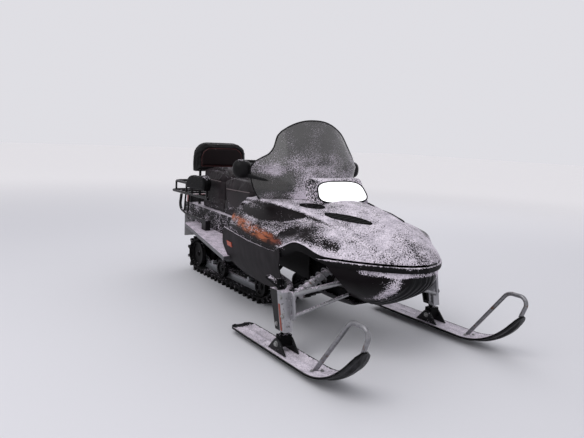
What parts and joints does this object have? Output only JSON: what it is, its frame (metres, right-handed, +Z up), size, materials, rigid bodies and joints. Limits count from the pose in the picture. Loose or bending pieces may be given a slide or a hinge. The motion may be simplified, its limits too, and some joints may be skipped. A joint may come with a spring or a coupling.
{
  "type": "snowmobile",
  "caption": "Two-up touring snowmobile on a lugged track, with steered skis on trailing arms, a tilting hood, a tall windshield, a backrest and a luggage rack.",
  "frame": {"origin": "on the floor under the middle of the machine", "axes": "+X forward, +Y to the rider's left, +Z up"},
  "size_m": [2.8863, 1.217, 1.2076],
  "materials": {
    "track_rubber": "moulded rubber",
    "steel_dark": "black paint",
    "aluminium_rail": "extruded",
    "wheel_black": "moulded",
    "tunnel_metal": "bare folded sheet",
    "engine_metal": "cast",
    "hood_black": "dark gloss with snow dust",
    "nose_plastic": "moulded",
    "panel_grey": "grained",
    "leg_silver": "silver paint",
    "spring_steel": "bare",
    "console_black": "moulded",
    "seat_vinyl": "vinyl",
    "tube_black": "satin black",
    "lamp_red": "red lens",
    "flap_rubber": "thin sheet",
    "windshield_smoke": "smoked clear sheet",
    "lamp_white": "clear lens, lamp lit",
    "mirror_black": "moulded",
    "vent_black": "moulded",
    "reflector_orange": "moulded lens",
    "grip_rubber": "soft",
    "ski_plastic": "moulded",
    "wear_steel": "worn",
    "loop_steel": "plain tube"
  },
  "bodies": {
    "chassis": {"track": "track_rubber", "drive_axle": "steel_dark", "slide_rails": "aluminium_rail", "idler_wheels": "wheel_black", "track_suspension": "steel_dark", "tunnel": "tunnel_metal", "running_boards": "tunnel_metal", "front_frame": "steel_dark", "engine_block": "engine_metal", "nose_shell": "nose_plastic", "belly_pan": "nose_plastic", "side_panels": "panel_grey", "swing_arms": "leg_silver", "radius_rods": "leg_silver", "front_shocks": "spring_steel", "fuel_console": "console_black", "seat": "seat_vinyl", "passenger_seat": "seat_vinyl", "backrest_pad": "seat_vinyl", "backrest_frame": "tube_black", "grab_guards": "seat_vinyl", "luggage_rack": "tube_black", "side_rails": "tube_black", "taillight": "lamp_red", "snow_flap": "flap_rubber", "tow_hitch": "tube_black", "side_reflectors": "reflector_orange"},
    "hood": {"hood": "hood_black", "windshield": "windshield_smoke", "headlight_housing": "console_black", "headlight_lens": "lamp_white", "instrument_pod": "console_black", "mirrors": "mirror_black", "hood_vents": "vent_black"},
    "steering": {"handlebar": "tube_black", "grips": "grip_rubber"},
    "steered_ski_left": {"ski_left": "ski_plastic", "wear_bar_left": "wear_steel", "ski_loop_left": "loop_steel", "ski_leg_left": "leg_silver"},
    "steered_ski_right": {"ski_right": "ski_plastic", "wear_bar_right": "wear_steel", "ski_loop_right": "loop_steel", "ski_leg_right": "leg_silver"}
  },
  "joints": [
    {"name": "steering_turn", "type": "hinge", "parent": "chassis", "child": "steering", "pos_m": [0.3, 0, 0.522], "axis": [-0.5762, 0, 0.8173], "range_deg": [-36, 36]},
    {"name": "hood_tilt", "type": "hinge", "parent": "chassis", "child": "hood", "pos_m": [1.245, 0, 0.48], "axis": [0, 1, 0], "range_deg": [0, 65]},
    {"name": "ski_turn_left", "type": "hinge", "parent": "chassis", "child": "steered_ski_left", "pos_m": [0.78725, 0.5335, 0.2], "axis": [-0.2079, 0, 0.9781], "range_deg": [-29, 29]},
    {"name": "ski_turn_right", "type": "hinge", "parent": "chassis", "child": "steered_ski_right", "pos_m": [0.78725, -0.5335, 0.2], "axis": [-0.2079, 0, 0.9781], "range_deg": [-29, 29]}
  ],
  "couplings": [
    {"joint": "ski_turn_left", "follows": "steering_turn", "ratio": 0.8},
    {"joint": "ski_turn_right", "follows": "steering_turn", "ratio": 0.8}
  ]
}
